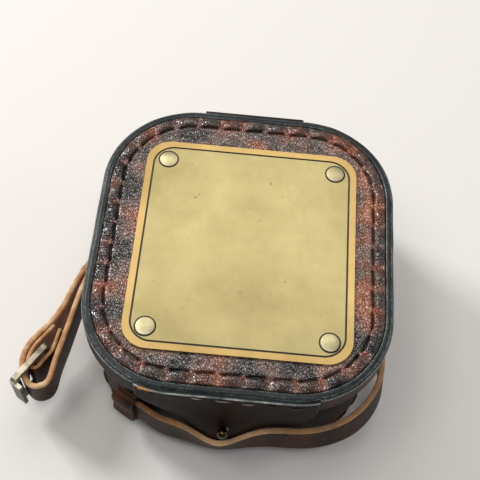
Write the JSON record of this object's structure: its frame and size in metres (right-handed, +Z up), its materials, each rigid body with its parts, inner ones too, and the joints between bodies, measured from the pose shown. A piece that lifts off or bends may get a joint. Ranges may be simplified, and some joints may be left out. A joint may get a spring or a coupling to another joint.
{
  "type": "sextant box",
  "caption": "Stitched leather case for a pocket sextant: hinged lid with a brass plate, front tongue tucked behind a belt, and a buckle strap at the side.",
  "frame": {"origin": "centre of the case's flat base, on the surface it stands on", "axes": "+Z up, -Y to the front where the tongue is, +X to the right, so the buckle strap is at -X"},
  "size_m": [0.1551, 0.1441, 0.0595],
  "materials": {
    "lid_leather": "mottled oxblood, waxed gloss",
    "burnished_leather": "black burnished edge",
    "wall_leather": "dark brown, satin",
    "tongue_leather": "dark brown, satin",
    "strap_leather": "dark brown face, raw tan edges",
    "lining_felt": "felt",
    "plate_brass": "polished",
    "rivet_brass": "polished",
    "stud_brass": "worn",
    "slide_metal": "dull, tarnished"
  },
  "bodies": {
    "case": {"body_wall": "wall_leather", "body_bottom": "wall_leather", "bottom_welt": "wall_leather", "wall_lining": "lining_felt", "bottom_pad": "lining_felt", "hinge_lower_leaf": "strap_leather", "belt": "strap_leather", "belt_rivets": "rivet_brass", "belt_rivet_burrs": "rivet_brass", "belt_loop_front": "strap_leather", "belt_loop_side": "strap_leather"},
    "lid": {"lid_skirt": "burnished_leather", "lid_top": "lid_leather", "lid_welt": "wall_leather", "lid_lining": "lining_felt", "brass_plate": "plate_brass", "plate_rivets": "rivet_brass", "plate_rivet_burrs": "rivet_brass", "hinge_upper_leaf": "strap_leather", "tongue_root": "tongue_leather"},
    "tongue": {"tongue": "tongue_leather", "ball_stud": "stud_brass", "stud_screw": "stud_brass"},
    "strap": {"buckle_strap": "strap_leather", "buckle_chape": "strap_leather", "strap_rivets": "rivet_brass"},
    "buckle": {"slide_buckle": "slide_metal"}
  },
  "joints": [
    {"name": "lid_hinge", "type": "hinge", "parent": "case", "child": "lid", "pos_m": [0, 0.0682, 0.046], "axis": [-1, 0, 0], "range_deg": [0, 180]},
    {"name": "tongue_flex", "type": "hinge", "parent": "lid", "child": "tongue", "pos_m": [0, -0.0668, 0.046], "axis": [-1, 0, 0], "range_deg": [0, 26]},
    {"name": "strap_swing", "type": "hinge", "parent": "case", "child": "strap", "pos_m": [-0.0608, 0.01939, 0.02], "axis": [0, 0, -1], "range_deg": [-6, 75]},
    {"name": "buckle_swing", "type": "hinge", "parent": "strap", "child": "buckle", "pos_m": [-0.08178, -0.04736, 0.02], "axis": [0, 0, -1], "range_deg": [-4, 1]}
  ],
  "couplings": [
    {"joint": "tongue_flex", "follows": "lid_hinge", "ratio": 0.14}
  ]
}
